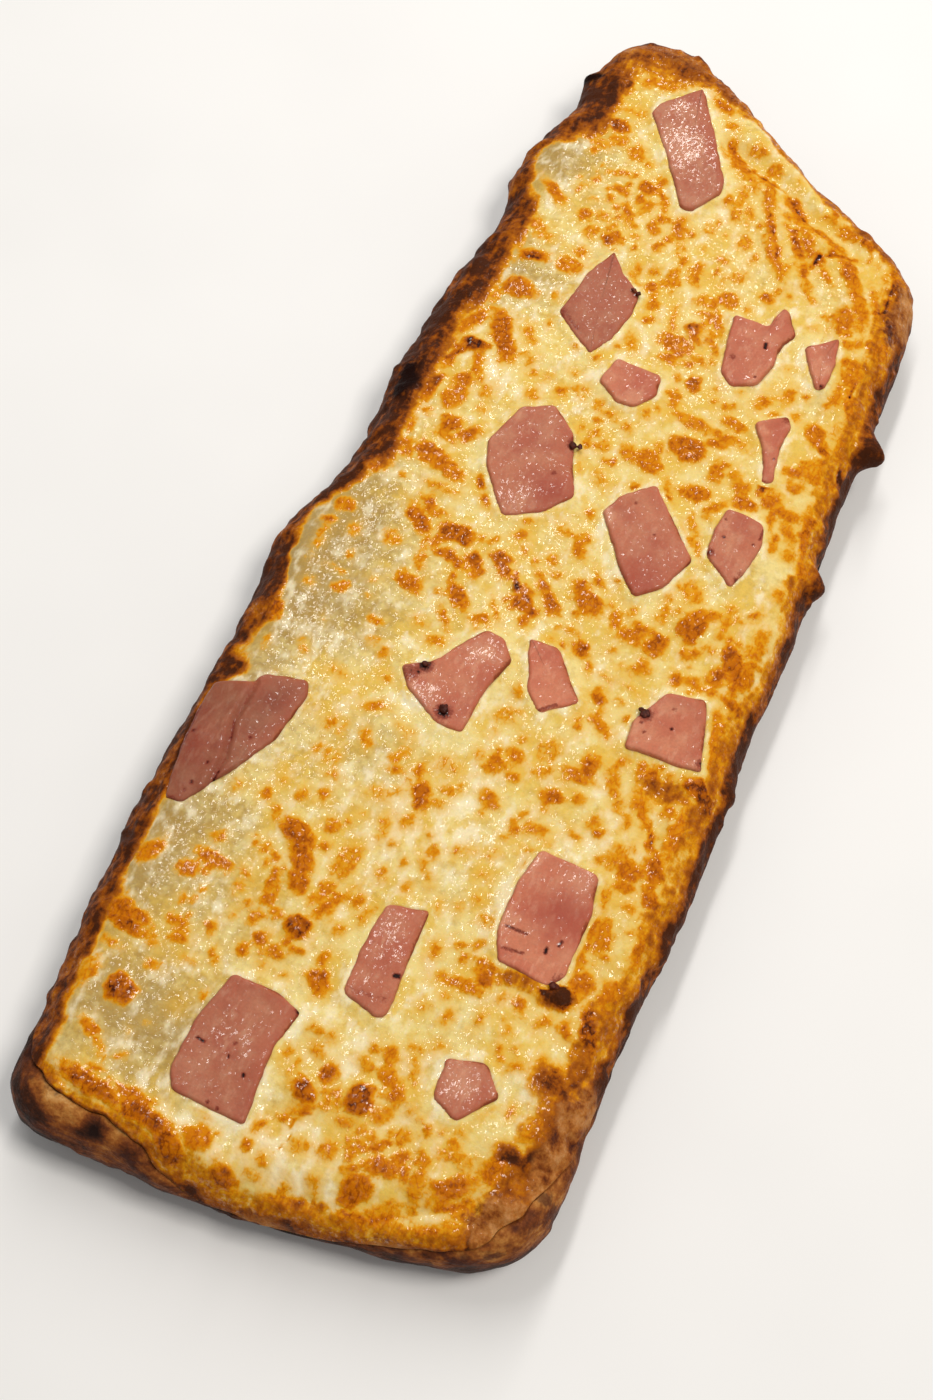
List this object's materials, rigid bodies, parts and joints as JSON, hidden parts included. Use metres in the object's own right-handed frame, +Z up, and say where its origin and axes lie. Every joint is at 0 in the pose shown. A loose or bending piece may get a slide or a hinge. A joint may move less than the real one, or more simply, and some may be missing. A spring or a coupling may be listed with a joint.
{
  "type": "ham and cheese flatbread",
  "caption": "Long rectangular baked flatbread with melted, brown-blistered cheese and scattered pieces of ham on top.",
  "frame": {"origin": "on the flat underside, under the middle of the bounding box", "axes": "+Y along the bread to the far short end, +X to its right side, +Z up"},
  "size_m": [0.1094, 0.2958, 0.0207],
  "materials": {
    "crust": "matt baked crust, tan to dark brown",
    "cheese": "soft sheen, cream-yellow with browned blisters",
    "ham": "moist pink with browned edges"
  },
  "bodies": {
    "root": {"bread": "crust", "cheese": "cheese", "ham_01": "ham", "ham_02": "ham", "ham_03": "ham", "ham_04": "ham", "ham_05": "ham", "ham_06": "ham", "ham_07": "ham", "ham_08": "ham", "ham_09": "ham", "ham_10": "ham", "ham_11": "ham", "ham_12": "ham", "ham_13": "ham", "ham_14": "ham", "ham_15": "ham", "ham_16": "ham", "ham_17": "ham"}
  },
  "joints": []
}
